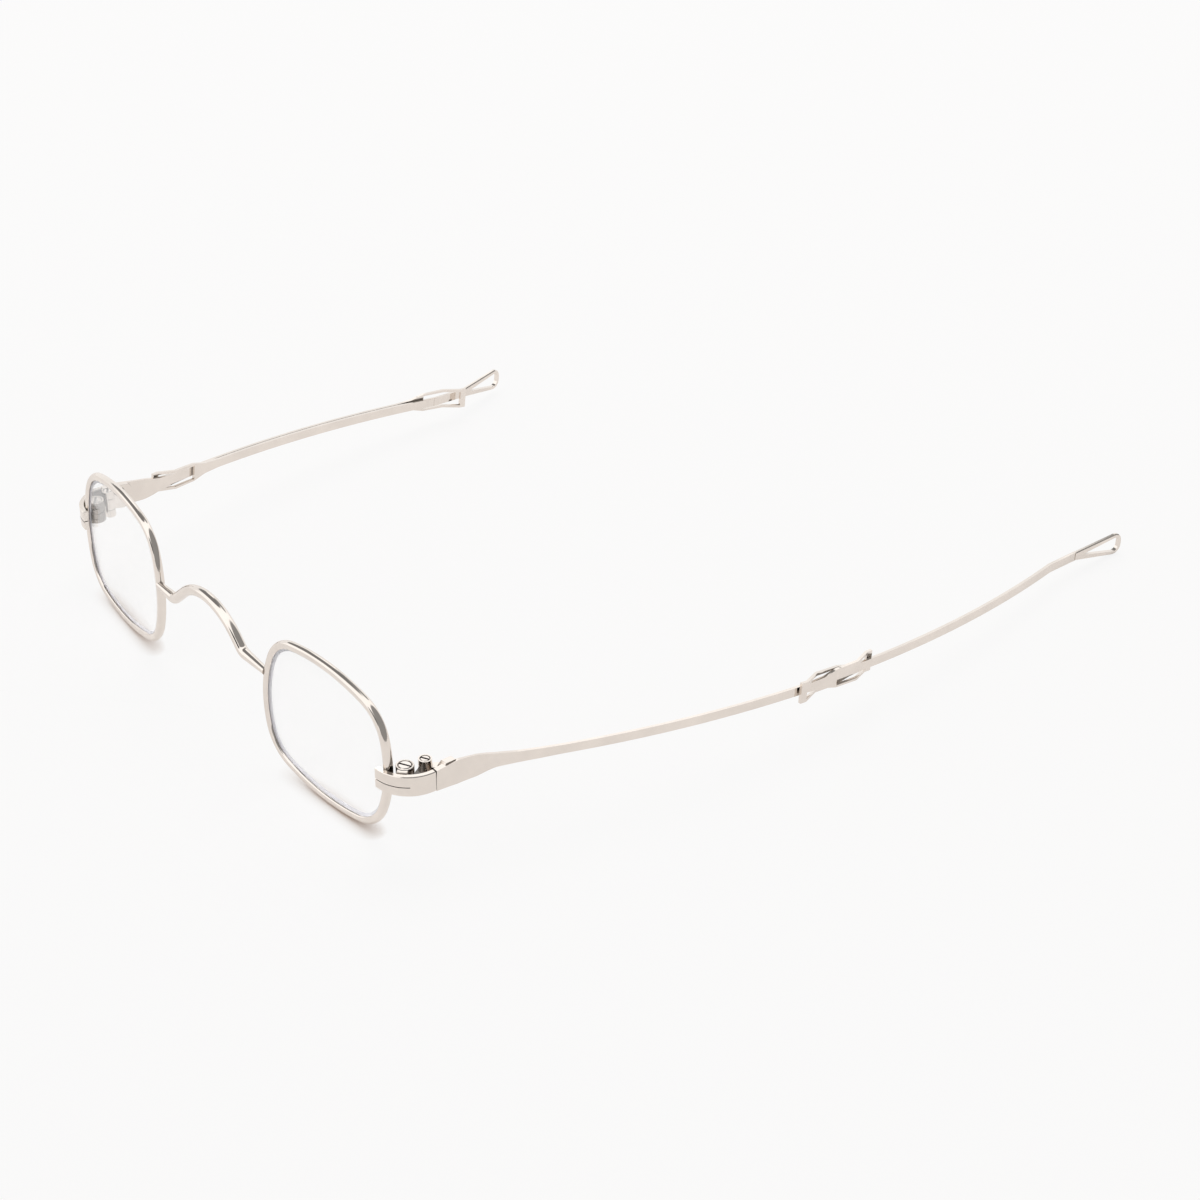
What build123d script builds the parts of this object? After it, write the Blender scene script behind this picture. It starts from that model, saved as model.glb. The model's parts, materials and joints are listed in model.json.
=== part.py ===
from build123d import *
from math import atan2, cos, degrees, hypot, radians, sin, sqrt
import os

# Antique spectacles with extending temples, all in silver wire and strip.
# Plus X is the wearer's left, the front faces minus Y and plus Z is up. The
# frame is laid out standing on a table and then shifted, so that the origin
# lies in the middle of the bridge, on the underside that rests on the nose.
# Each side is drawn about the level of its own hinge and then raised to it.

# Eyewires: flat ovals with barrel sides, seen from the front
pupil_distance = 64.6
eye_width = 32.0
eye_height = 25.4
side_arc_radius = 19.7
top_arc_radius = 40.4
corner_arc_radius = 7.9
wire_width = 1.35
wire_depth = 1.3
wire_bevel = 0.32
groove_depth = 0.42
rim_wrap_angle = 5.5
rim_droop_angle = 2.6
front_lean_angle = 2.5

# Lenses
lens_play = 0.03
lens_edge_thickness = 1.0
lens_relief = 0.1

# Bridge
bridge_wire = 1.8
bridge_apex_rise = 8.6
bridge_apex_height = eye_height / 2 + bridge_apex_rise
bridge_flank_angle = 41.5
bridge_sides = 10
bridge_rim_overlap = 0.6
bridge_foot_reach = (pupil_distance - eye_width) / 2 + bridge_rim_overlap
bridge_dip_radius = 2.2
bridge_arch_share = 0.74
bridge_arch_radius = bridge_arch_share * bridge_foot_reach
left_foot_drop_share = 0.29
right_foot_drop_share = 0.36
bridge_forward = 0.45

# Endpiece band, slit so that the eyewire can be opened
left_hinge_rise = -0.48
right_hinge_rise = 0.17
left_hinge_level = eye_height / 2 + left_hinge_rise
right_hinge_level = eye_height / 2 + right_hinge_rise
rim_reach = (pupil_distance + eye_width) / 2
joint_outside_rim = 4.3
joint_x = rim_reach + joint_outside_rim
joint_y = 7.9
band_height = 3.55
band_thickness = 0.9
band_arc_radius = 6.3
band_front_flat = 0.6
band_back_flat = 0.6
band_edge_bevel = 0.12
slit_width = 0.14
slit_drop_share = 0.54
slit_sweep_angle = 46.0
butt_gap = 0.05

# Closing block behind the band, in two halves drawn together by a screw
closing_outside_rim = 0.25
closing_x = rim_reach + closing_outside_rim
closing_y = 4.95
closing_radius = 1.45
closing_proud = 0.2
closing_web = 1.7
closing_screw_radius = 0.6
closing_head_radius = 1.05
closing_head_depth = 0.55
closing_seat_play = 0.05
screw_play = 0.02

# Hinge: three knuckles on one screw
pin_inside_joint = 3.1
pin_behind_joint = 0.05
pin_x = joint_x - pin_inside_joint
pin_y = joint_y + pin_behind_joint
knuckle_radius = 1.08
knuckle_stack = 4.9
knuckle_middle = 2.2
knuckle_gap = 0.05
hinge_screw_radius = 0.5
hinge_running_play = 0.04
hinge_head_radius = 0.78
hinge_head_depth = 0.45
front_arm_width = 1.2
front_pad_start_angle = 8.0
front_pad_end_angle = 33.0
front_pad_thickness = 0.5
front_pad_height = 2.8
leaf_thickness = 0.6
leaf_height = 4.3
leaf_start = 1.5
leaf_length = 3.2
leaf_corner = 0.7
leaf_arm_width = 1.3

# Screw slots
slot_width = 0.32
slot_depth = 0.25
head_bevel = 0.12
slot_turn_angle = 30.0

# Temples: one strip slides on the other, and both follow the same large arc
strip_thickness = 0.52
strip_height = 1.56
layer_gap = 0.1
temple_arc_radius = 204.4
arc_start = 12.6
bend_start = 2.4
paddle_angle = -9.5
arc_angle = 16.1
left_slope_angle = 4.1
right_slope_angle = 6.4
front_strip_length = 81.2
loops_lap = 16.7
crossbar_before_arc = 2.7
slide_in_place = arc_start - crossbar_before_arc
slide_out_place = front_strip_length - loops_lap
slide_travel = slide_out_place - slide_in_place

# Paddle: lengths from the joint, and heights above and below the strip's middle
paddle_thickness = 0.9
paddle_thin_before_bar = 0.4
paddle_thin_at = slide_in_place - paddle_thin_before_bar
paddle_root_half = 1.8
paddle_belly_at = 4.3
paddle_belly_top = 2.0
paddle_belly_bottom = 2.25
paddle_neck_after_bar = 1.0
paddle_neck_at = slide_in_place + paddle_neck_after_bar
paddle_neck_top = 1.2
paddle_neck_bottom = 1.27
paddle_shoulder_length = 3.0
paddle_shoulder_at = paddle_neck_at - paddle_shoulder_length
paddle_shoulder_top = 1.75
paddle_shoulder_bottom = 2.1
paddle_end_length = 3.7
paddle_end_at = paddle_neck_at + paddle_end_length
paddle_end_top = 0.9
paddle_end_bottom = 1.02
paddle_fade_length = 7.0
paddle_blend_radius = 6.0

# Guide loops: each strip is threaded through the pierced end of the other
loop_height = 3.75
loop_neck_play = 0.08
loop_hole_height = 2 * (paddle_neck_bottom + loop_neck_play)
loop_bar_width = 1.2
loop_hole_length = 7.5
loop_slant_length = 3.0
loop_neck_height = 2.0
loop_neck_length = 3.4
loop_tail_length = 6.0
loop_base_height = 3.4
crossbar_stand_off = 0.2

# Finger loop at each tail
tail_bend_angle = 18.0
tail_bend_length = 17.8
tail_loop_length = 10.9
tail_loop_height = 4.5
tail_loop_thickness = 0.7
tail_loop_wire = 0.72
tail_loop_corner = 1.7
tail_loop_bevel = 0.16
tail_hole_start = 2.3
tail_hole_half = 0.15
tail_clearance = 0.6
slide_strip_length = front_strip_length + tail_clearance + tail_loop_length - slide_in_place

# Reach of the cutting shapes, and how near counts as the same place
overrun = 5.0
temple_cut_width = 60.0
edge_tolerance = 0.1


def eye_corner_arcs():
    half_width, half_height = eye_width / 2, eye_height / 2
    side = Vector(half_width - side_arc_radius, 0)
    top = Vector(0, half_height - top_arc_radius)
    side_reach = side_arc_radius - corner_arc_radius
    top_reach = top_arc_radius - corner_arc_radius
    span = top - side
    along = (side_reach**2 - top_reach**2 + span.length**2) / (2 * span.length)
    across = sqrt(side_reach**2 - along**2)
    unit = span.normalized()
    corner = side + unit * along + Vector(unit.Y, -unit.X) * across
    if corner.X + corner.Y < 0:
        corner = side + unit * along - Vector(unit.Y, -unit.X) * across
    side_turn = degrees(atan2(corner.Y - side.Y, corner.X - side.X))
    top_turn = degrees(atan2(corner.Y - top.Y, corner.X - top.X))
    return side, corner, top, side_turn, top_turn


def eye_outline(inset):
    # Closed outline in the front view, inset inwards from the outer edge.
    side, corner, top, side_turn, top_turn = eye_corner_arcs()
    flip_x, flip_y = Plane.YZ, Plane.XZ
    right = CenterArc(side, side_arc_radius - inset, -side_turn, 2 * side_turn)
    upper = CenterArc(top, top_arc_radius - inset, top_turn, 180 - 2 * top_turn)
    bend = CenterArc(corner, corner_arc_radius - inset, side_turn, top_turn - side_turn)
    low_bend = bend.mirror(flip_y)
    edges = [right, bend, upper, low_bend, upper.mirror(flip_y)]
    edges += [bend.mirror(flip_x), right.mirror(flip_x), low_bend.mirror(flip_x)]
    return Wire(edges)


def eye_place():
    # Seats a lens or wire, drawn upright at the origin, in the wearer's left eye.
    lean = Rot(-front_lean_angle, 0, 0)
    seat = Pos(pupil_distance / 2, 0, eye_height / 2)
    return lean * seat * Rot(0, 0, rim_wrap_angle) * Rot(0, rim_droop_angle, 0)


def eye_stack(levels):
    # Solid through (inset, depth) levels, drawn upright: depth runs to the back.
    sections = [Face(Pos(0, 0, -depth) * eye_outline(inset)) for inset, depth in levels]
    slabs = [loft([a, b], ruled=True) for a, b in zip(sections, sections[1:])]
    return Rot(90, 0, 0) * slabs[0].fuse(*slabs[1:]).clean()


def make_eyewire():
    back, tip = wire_depth, wire_width - groove_depth
    outside = [(wire_bevel, 0), (0, wire_bevel), (0, back - wire_bevel), (wire_bevel, back)]
    inside = [(wire_width, 0), (tip, back / 2), (wire_width, back)]
    return eye_stack(outside) - eye_stack(inside)


def make_lens():
    # The bevel runs parallel to the groove of the wire.
    tip = wire_width - groove_depth + lens_play
    edge = tip + groove_depth * lens_edge_thickness / wire_depth
    middle, half = wire_depth / 2, lens_edge_thickness / 2
    return eye_stack([(edge, middle - half), (tip, middle), (edge, middle + half)])


def bridge_foot(drop_share):
    # A level foot under one end of the arch, and the dip where the flank meets it.
    flank = radians(bridge_flank_angle)
    rise = sin(flank) / cos(flank)
    peak = bridge_apex_height + bridge_arch_radius * (1 / cos(flank) - 1)
    foot_z = bridge_apex_height - drop_share * bridge_foot_reach
    return (bridge_foot_reach, foot_z), ((peak - foot_z) / rise, foot_z), (0, peak)


def make_bridge():
    left_foot, left_dip, peak = bridge_foot(left_foot_drop_share)
    right_foot, right_dip, peak = bridge_foot(right_foot_drop_share)
    right_side = [(-x, z) for x, z in (right_dip, right_foot)]
    radii = [bridge_dip_radius, bridge_arch_radius, bridge_dip_radius]
    path = FilletPolyline(left_foot, left_dip, peak, *right_side, radius=radii)
    path = Pos(0, -bridge_forward, 0) * Rot(90, 0, 0) * path
    section = RegularPolygon(bridge_wire / 2, bridge_sides)
    section = Plane(path @ 0, z_dir=path % 0) * section
    return sweep(section, path=path)


def band_centre():
    return Vector(joint_x - band_arc_radius, joint_y - band_back_flat)


def band_profile(top, bottom):
    # Plan of the band: a short flat over the eyewire, an arc, and a flat up to the hinge.
    start = rim_wrap_angle - 90
    outer = CenterArc(band_centre(), band_arc_radius, start, -start)
    inner = CenterArc(band_centre(), band_arc_radius - band_thickness, start, -start)
    turn = radians(rim_wrap_angle)
    front = Vector(-cos(turn), -sin(turn)) * band_front_flat
    back = Vector(0, band_back_flat)
    edges = [Line(outer @ 0 + front, outer @ 0), outer, Line(outer @ 1, outer @ 1 + back)]
    edges += [Line(outer @ 1 + back, inner @ 1 + back), Line(inner @ 1 + back, inner @ 1), inner]
    edges += [Line(inner @ 0, inner @ 0 + front), Line(inner @ 0 + front, outer @ 0 + front)]
    return Pos(0, 0, bottom) * extrude(make_face(edges), top - bottom)


def slit_height():
    return band_height / 2 - band_height * slit_drop_share


def slit_blade():
    # The saw cut: as wide as the band from its front end to the slit's end.
    centre = band_centre()
    reach = band_arc_radius + overrun
    wedge = Rot(0, 0, slit_sweep_angle - 90) * Pos(0, -reach / 2) * Rectangle(2 * reach, reach)
    blade = extrude(wedge, slit_width / 2, both=True)
    return Pos(centre.X, centre.Y, slit_height()) * blade


def make_band(eyewire, seat):
    half = band_height / 2
    band = band_profile(half, -half)
    long_edges = [e for e in band.edges() if abs(e.center().Z) > half - band_edge_bevel]
    band = chamfer(long_edges, band_edge_bevel)
    face_gap = Pos(joint_x, joint_y + overrun / 2 - butt_gap, 0)
    band = band - face_gap * Box(overrun, overrun, 2 * band_height)
    relief = seat * eye_stack([(wire_width, -lens_relief), (wire_width, wire_depth)])
    band = band - slit_blade() - eyewire - relief
    return max(band.solids(), key=lambda s: s.volume)


def screw_body(head_radius, head_depth, shank_radius, length):
    # Head up, its top at z zero, and the shank hanging down from it.
    outline = [(0, 0), (head_radius - head_bevel, 0), (head_radius, -head_bevel)]
    outline += [(head_radius, -head_depth), (shank_radius, -head_depth)]
    outline += [(shank_radius, -length), (0, -length)]
    body = revolve(make_face(Plane.XZ * Polyline(*outline, close=True)), Axis.Z)
    slot = Box(2 * head_radius + overrun, slot_width, 2 * slot_depth)
    return body - Rot(0, 0, slot_turn_angle) * slot


def closing_solid(top, bottom):
    centre = Vector(closing_x, closing_y)
    barrel = Cylinder(closing_radius, top - bottom)
    outward = (centre - band_centre()).normalized()
    turn = degrees(atan2(outward.Y, outward.X))
    web_reach = band_arc_radius - band_thickness / 2 - (centre - band_centre()).length
    web = Rot(0, 0, turn) * Pos(web_reach / 2, 0) * Box(web_reach, closing_web, top - bottom)
    return Pos(centre.X, centre.Y, (top + bottom) / 2) * (barrel + web)


def make_closing_halves(eyewire):
    half = band_height / 2
    top, bottom = half + closing_proud, -half - closing_proud
    upper = closing_solid(top, slit_height() + slit_width / 2)
    lower = closing_solid(slit_height() - slit_width / 2, bottom)
    axis = Pos(closing_x, closing_y, 0)
    bore = axis * Cylinder(closing_screw_radius + screw_play, 4 * band_height)
    seat_radius = closing_head_radius + closing_seat_play
    seat_depth = closing_head_depth + screw_play
    seat = axis * Pos(0, 0, top) * Cylinder(seat_radius, 2 * seat_depth)
    outside = band_profile(top, bottom)
    upper = upper - bore - seat - outside - eyewire
    return upper, lower - bore - outside - eyewire


def make_closing_screw():
    top = band_height / 2 + closing_proud
    screw = screw_body(closing_head_radius, closing_head_depth, closing_screw_radius, 2 * top)
    return Pos(closing_x, closing_y, top) * screw


def make_front_hinge(band):
    # Two outer knuckles, their arms and the plate that is soldered inside the band.
    centre, pin = band_centre(), Vector(pin_x, pin_y)
    sweep = front_pad_end_angle - front_pad_start_angle
    outer = CenterArc(centre, band_arc_radius - band_thickness, -front_pad_end_angle, sweep)
    inner_radius = band_arc_radius - band_thickness - front_pad_thickness
    inner = CenterArc(centre, inner_radius, -front_pad_end_angle, sweep)
    plan = make_face([outer, inner, Line(outer @ 0, inner @ 0), Line(outer @ 1, inner @ 1)])
    hinge = extrude(plan, front_pad_height / 2, both=True)
    reach = (inner @ 0.5 + outer @ 0.5) / 2 - pin
    turn = degrees(atan2(reach.Y, reach.X))
    knuckle_height = (knuckle_stack - knuckle_middle) / 2
    arm_height = (front_pad_height - knuckle_middle) / 2
    arm = Rot(0, 0, turn) * Pos(reach.length / 2, 0) * Box(reach.length, front_arm_width, arm_height)
    for side in (1, -1):
        knuckle = Cylinder(knuckle_radius, knuckle_height)
        hinge += Pos(pin.X, pin.Y, side * (knuckle_middle + knuckle_height) / 2) * knuckle
        hinge += Pos(pin.X, pin.Y, side * (knuckle_middle + arm_height) / 2) * arm
    axis = Pos(pin.X, pin.Y, 0)
    bore = axis * Cylinder(hinge_screw_radius + screw_play, 2 * knuckle_stack)
    seat_depth = hinge_head_depth + screw_play
    seat = Cylinder(hinge_head_radius + closing_seat_play, 2 * seat_depth)
    seat = axis * Pos(0, 0, knuckle_stack / 2) * seat
    return (hinge - bore - seat - band).clean()


def make_hinge_screw():
    screw = screw_body(hinge_head_radius, hinge_head_depth, hinge_screw_radius, knuckle_stack)
    return Pos(pin_x, pin_y, knuckle_stack / 2) * screw


def heading(s):
    # Direction of the strips, outwards from straight back, at a length s from the joint.
    bend_rate = (arc_angle - paddle_angle) / (arc_start - bend_start)
    if s < bend_start:
        return paddle_angle
    if s < arc_start:
        return paddle_angle + bend_rate * (s - bend_start)
    return arc_angle - degrees((s - arc_start) / temple_arc_radius)


def strip_point(s, outward):
    # A point of the plan at a length s, set outwards from the front strip's outer face.
    bend_length = arc_start - bend_start
    bend_radius = bend_length / radians(arc_angle - paddle_angle)
    first = radians(paddle_angle)
    x, y = joint_x, 0
    straight = min(s, bend_start)
    x, y = x + straight * sin(first), y + straight * cos(first)
    if s > bend_start:
        turned = radians(heading(min(s, arc_start)))
        x += bend_radius * (cos(first) - cos(turned))
        y += bend_radius * (sin(turned) - sin(first))
    if s > arc_start:
        begin, turned = radians(arc_angle), radians(heading(s))
        x += temple_arc_radius * (cos(turned) - cos(begin))
        y += temple_arc_radius * (sin(begin) - sin(turned))
    turn = radians(heading(s))
    return Vector(x + outward * cos(turn), y - outward * sin(turn))


def slide_centre():
    # The point that both strips' arcs share, in the plane of the temple.
    return strip_point(arc_start, -temple_arc_radius)


def strip_edge(stations):
    # A smooth plan edge through (length, outward) stations: exact arcs where the
    # outward distance stays the same, straight runs where it changes.
    edges = []
    for (s0, n0), (s1, n1) in zip(stations, stations[1:]):
        start, end = strip_point(s0, n0), strip_point(s1, n1)
        if n0 == n1 and (s0 >= arc_start or s1 <= arc_start):
            middle = strip_point((s0 + s1) / 2, n0)
            if s1 <= bend_start:
                edges.append(Line(start, end))
            else:
                edges.append(ThreePointArc(start, middle, end))
        else:
            edges.append(Line(start, end))
    return edges


def strip_solid(outer, inner, height):
    edges = strip_edge(outer) + strip_edge(inner)
    first = Line(strip_point(*outer[0]), strip_point(*inner[0]))
    last = Line(strip_point(*outer[-1]), strip_point(*inner[-1]))
    return extrude(make_face(edges + [first, last]), height / 2, both=True)


def side_profile(stations, blend=0):
    # Side view through (length, top, bottom) stations, as a prism across the temple.
    upper = [(strip_point(s, 0).Y, top) for s, top, bottom in stations]
    lower = [(strip_point(s, 0).Y, -bottom) for s, top, bottom in stations]
    face = make_face(Polyline(*upper, *reversed(lower), close=True))
    if blend:
        ends = (upper[0][0], upper[-1][0])
        inner = [v for v in face.vertices() if min(abs(v.X - e) for e in ends) > edge_tolerance]
        face = fillet(inner, blend)
    return Pos(joint_x, 0, 0) * extrude(Plane.YZ * face, temple_cut_width / 2, both=True)


def side_window(s0, s1, height):
    y0, y1 = strip_point(s0, 0).Y, strip_point(s1, 0).Y
    return Pos(joint_x, (y0 + y1) / 2, 0) * Box(temple_cut_width, y1 - y0, height)


def loop_offsets():
    # Middle of the strip in each layer: outside, front strip, slide strip, inside.
    half = strip_thickness / 2
    outside = layer_gap + crossbar_stand_off
    slide = -(strip_thickness + layer_gap)
    inside = slide - strip_thickness - layer_gap
    return outside, slide, inside, half


def make_front_strip():
    # Paddle, strip and, at the rear, the loop whose crossbar lies inside the slide strip.
    end = front_strip_length
    bar = end - loop_bar_width
    hole = bar - loop_hole_length
    slant = bar - loop_slant_length
    inside = loop_offsets()[2]
    outer = [(0, 0), (bend_start, 0), (arc_start, 0), (slant, 0), (bar, inside), (end, inside)]
    thin, thick = -strip_thickness, -paddle_thickness
    inner = [(0, thick), (bend_start, thick), (paddle_thin_at, thin), (arc_start, thin)]
    inner += [(slant, thin), (bar, inside + thin), (end, inside + thin)]
    solid = strip_solid(outer, inner, 2 * loop_height)
    half = strip_height / 2
    faded = paddle_end_at + paddle_fade_length
    paddle = [
        (0, paddle_root_half, paddle_root_half),
        (paddle_belly_at, paddle_belly_top, paddle_belly_bottom),
        (paddle_shoulder_at, paddle_shoulder_top, paddle_shoulder_bottom),
        (paddle_neck_at, paddle_neck_top, paddle_neck_bottom),
        (paddle_end_at, paddle_end_top, paddle_end_bottom),
        (faded, half, half),
        (faded + overrun, half, half),
    ]
    start = hole - loop_tail_length
    rear = [(faded + overrun, half), (start, half), (start + loop_neck_length, loop_neck_height / 2)]
    rear += [(hole, loop_base_height / 2), (end, loop_height / 2)]
    rear = [(s, h, h) for s, h in rear]
    outline = side_profile(paddle, paddle_blend_radius) + side_profile(rear)
    return (solid & outline) - side_window(hole, bar, loop_hole_height)


def make_slide_strip():
    # Front loop with its crossbar outside the front strip, the long strip, and the finger loop.
    start = slide_out_place
    bar = start + loop_bar_width
    slant = bar + loop_slant_length
    hole = bar + loop_hole_length
    outside, slide = loop_offsets()[:2]
    bend = start + slide_strip_length - tail_bend_length
    outer = [(start, outside + strip_thickness), (bar, outside + strip_thickness)]
    outer += [(slant, slide), (bend, slide)]
    inner = [(start, outside), (bar, outside)]
    inner += [(slant, slide - strip_thickness), (bend, slide - strip_thickness)]
    solid = strip_solid(outer, inner, loop_height)
    half = strip_height / 2
    stop = hole + loop_tail_length
    heights = [(start, loop_height / 2), (hole, loop_base_height / 2)]
    heights += [(stop - loop_neck_length, loop_neck_height / 2), (stop, half), (bend, half)]
    solid = solid & side_profile([(s, h, h) for s, h in heights])
    solid = solid - side_window(bar, hole, loop_hole_height)
    return solid + make_tail(bend)


def make_tail(bend):
    # The finger loop, drawn flat in side view and laid along the bent end.
    slide = loop_offsets()[1]
    root = strip_point(bend, slide - strip_thickness / 2)
    straight = tail_bend_length - tail_loop_length
    half_root, half_end = strip_height / 2, tail_loop_height / 2
    end, wire = tail_loop_length, tail_loop_wire
    corners = [(0, -half_root), (end, -half_end), (end, half_end), (0, half_root)]
    outline = make_face(Polyline(*corners, close=True))
    outline = fillet([v for v in outline.vertices() if v.X > end / 2], tail_loop_corner)
    first, last, inside = tail_hole_start, end - wire, half_end - wire
    corners = [(first, -tail_hole_half), (last, -inside), (last, inside), (first, tail_hole_half)]
    hole = make_face(Polyline(*corners, close=True))
    hole = fillet([v for v in hole.vertices() if v.X > end / 2], tail_loop_corner - wire)
    loop = extrude(outline - hole, tail_loop_thickness / 2, both=True)
    flat = tail_loop_thickness / 2 - edge_tolerance
    faces = [f for f in loop.faces() if abs(f.center().Z) > flat]
    edges = [e for f in faces for e in f.outer_wire().edges() if e.center().X > wire]
    loop = chamfer(edges, tail_loop_bevel)
    middle_turn = heading(bend) + tail_bend_angle / 2
    full_turn = heading(bend) + tail_bend_angle
    neck = Pos(straight / 2, 0) * Box(straight + wire, strip_thickness, strip_height)
    neck = Pos(root.X, root.Y) * Rot(0, 0, 90 - middle_turn) * neck
    turn_in = radians(middle_turn)
    knee = root + Vector(sin(turn_in), cos(turn_in)) * straight
    loop = Pos(knee.X, knee.Y) * Rot(0, 0, 90 - full_turn) * Rot(90, 0, 0) * loop
    return neck + loop


def temple_place(slope):
    return Pos(0, joint_y, 0) * Rot(-slope, 0, 0)


def make_front_temple(slope):
    strip = temple_place(slope) * make_front_strip()
    front = Pos(joint_x, joint_y - overrun / 2 + butt_gap / 2, 0)
    return strip - front * Box(2 * overrun, overrun, 2 * overrun)


def make_leaf(front_temple, slope):
    # Middle knuckle, arm and the plate soldered inside the paddle.
    pin = Vector(pin_x, pin_y)
    tall = knuckle_middle - 2 * knuckle_gap
    leaf_end, inner = leaf_start + leaf_length, -paddle_thickness
    corners = [(leaf_start, inner + leaf_thickness), (leaf_end, inner + leaf_thickness)]
    corners += [(leaf_end, inner - leaf_thickness), (leaf_start, inner - leaf_thickness)]
    plan = make_face(Polyline(*[strip_point(*c) for c in corners], close=True))
    plate = extrude(plan, leaf_height / 2, both=True)
    level = leaf_height / 2 - edge_tolerance
    ends = [e for e in plate.edges() if abs(e.center().Z) > level and e.length < leaf_length / 2]
    plate = temple_place(slope) * chamfer(ends, leaf_corner)
    foot = strip_point(leaf_start + leaf_length / 2, inner - leaf_thickness / 2)
    reach = Vector(foot.X, foot.Y + joint_y) - pin
    turn = degrees(atan2(reach.Y, reach.X))
    arm = Pos(reach.length / 2, 0) * Box(reach.length, leaf_arm_width, tall)
    axis = Pos(pin.X, pin.Y, 0)
    bore = axis * Cylinder(hinge_screw_radius + hinge_running_play, 2 * knuckle_stack)
    leaf = axis * Cylinder(knuckle_radius, tall) + axis * Rot(0, 0, turn) * arm + plate
    return (leaf - bore - front_temple).clean()


def slid(shape, travel):
    # Slides a part drawn fully extended forwards by a travel along the strips.
    centre = slide_centre()
    turn = Pos(centre.X, centre.Y) * Rot(0, 0, -degrees(travel / temple_arc_radius))
    return turn * Pos(-centre.X, -centre.Y) * shape


def make_side(level, slope, travel):
    seat = Pos(0, 0, -level) * eye_place()
    eyewire = seat * make_eyewire()
    saw_x = (pupil_distance + eye_width) / 2
    saw = Pos(saw_x, wire_depth, slit_height()) * Box(2 * wire_width, overrun, slit_width)
    band = make_band(eyewire, seat)
    upper, lower = make_closing_halves(eyewire)
    front_temple = make_front_temple(slope)
    pieces = {
        "eyewire": eyewire - saw,
        "lens": seat * make_lens(),
        "endpiece_band": band,
        "closing_block_upper": upper,
        "closing_block_lower": lower,
        "closing_screw": make_closing_screw(),
        "front_hinge": make_front_hinge(band),
        "hinge_screw": make_hinge_screw(),
        "hinge_leaf": make_leaf(front_temple, slope),
        "temple_strip": front_temple,
        "temple_slide": temple_place(slope) * slid(make_slide_strip(), travel),
    }
    return {name: Pos(0, 0, level) * shape for name, shape in pieces.items()}


def to_saddle(shape):
    # Moves the standing layout so that the origin is under the middle of the bridge.
    return Pos(0, bridge_forward, bridge_wire / 2 - bridge_apex_height) * shape


def main():
    os.makedirs("parts", exist_ok=True)
    left = make_side(left_hinge_level, left_slope_angle, 0)
    right = make_side(right_hinge_level, right_slope_angle, slide_travel)
    eyewires = left["eyewire"]
    bridge = make_bridge()
    bridge = bridge - eyewires - eyewires.mirror(Plane.YZ)
    bridge = max(bridge.solids(), key=lambda s: s.volume)
    pieces = {"bridge": bridge}
    for name, shape in left.items():
        pieces[name + "_left"] = shape
    for name, shape in right.items():
        pieces[name + "_right"] = shape.mirror(Plane.YZ)
    for name, shape in pieces.items():
        export_step(to_saddle(shape), f"parts/{name}.step")


main()
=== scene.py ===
import json
import math

import bmesh
import bpy
from mathutils import Matrix, Vector

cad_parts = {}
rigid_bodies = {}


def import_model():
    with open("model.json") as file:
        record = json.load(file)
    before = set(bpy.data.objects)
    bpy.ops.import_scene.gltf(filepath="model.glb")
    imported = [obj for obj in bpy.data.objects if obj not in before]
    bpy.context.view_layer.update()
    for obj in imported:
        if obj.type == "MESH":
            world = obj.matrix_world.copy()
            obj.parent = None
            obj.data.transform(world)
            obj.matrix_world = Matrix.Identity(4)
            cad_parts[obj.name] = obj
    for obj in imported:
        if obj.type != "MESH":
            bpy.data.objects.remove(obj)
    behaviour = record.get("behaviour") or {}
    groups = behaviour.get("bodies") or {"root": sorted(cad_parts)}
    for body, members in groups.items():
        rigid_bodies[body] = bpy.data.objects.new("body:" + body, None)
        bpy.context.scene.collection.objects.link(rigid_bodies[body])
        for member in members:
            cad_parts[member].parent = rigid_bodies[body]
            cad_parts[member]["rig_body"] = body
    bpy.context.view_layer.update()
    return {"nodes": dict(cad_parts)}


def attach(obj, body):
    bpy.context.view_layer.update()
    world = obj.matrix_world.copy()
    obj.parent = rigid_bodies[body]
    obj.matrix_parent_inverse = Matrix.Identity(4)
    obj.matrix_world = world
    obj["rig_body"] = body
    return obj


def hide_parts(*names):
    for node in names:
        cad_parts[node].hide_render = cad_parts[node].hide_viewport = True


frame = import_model()


# Bridge
# One length of round silver wire, bent to an arch over the nose with a small
# dip at each foot. The feet are filed thinner at their ends and hard soldered
# to the inner edges of the rims.
mm = 0.001
wire_radius, wire_sides, wire_edge = 0.9 * mm, 32, math.radians(40)
arch_radius, dip_radius = 12.506 * mm, 2.2 * mm
arch_top, flank_angle = 21.3 * mm, math.radians(41.5)
left_foot_z, right_foot_z = 16.399 * mm, 15.216 * mm
foot_x = 17.1 * mm
foot_taper, foot_share = 0.3, 0.045
bridge_step, fewest_steps = 0.15 * mm, 4
saddle_height = 20.4 * mm
# The tarnish tone also serves as painted shade, laid into nearly closed corners.
silver_tone, tarnish_and_shade_tone = (0.825, 0.76, 0.70), (0.035, 0.031, 0.029)
cloud_scale, cloud_detail, cloud_dim = 260, 4, 0.93
cloud_thin, cloud_thick = 0.3, 0.7
hair_detail, hair_roughness, hair_thin, hair_thick = 6, 0.7, 0.3, 0.75
hair_haze, hair_depth, hair_strength = 0.09, 0.01 * mm, 0.1
corner_reach, corner_samples = 0.9 * mm, 8
corner_closed, corner_open = 0.42, 0.8
wire_grain, wire_shine, wire_black = 2500, 0.05, 0.6


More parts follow.
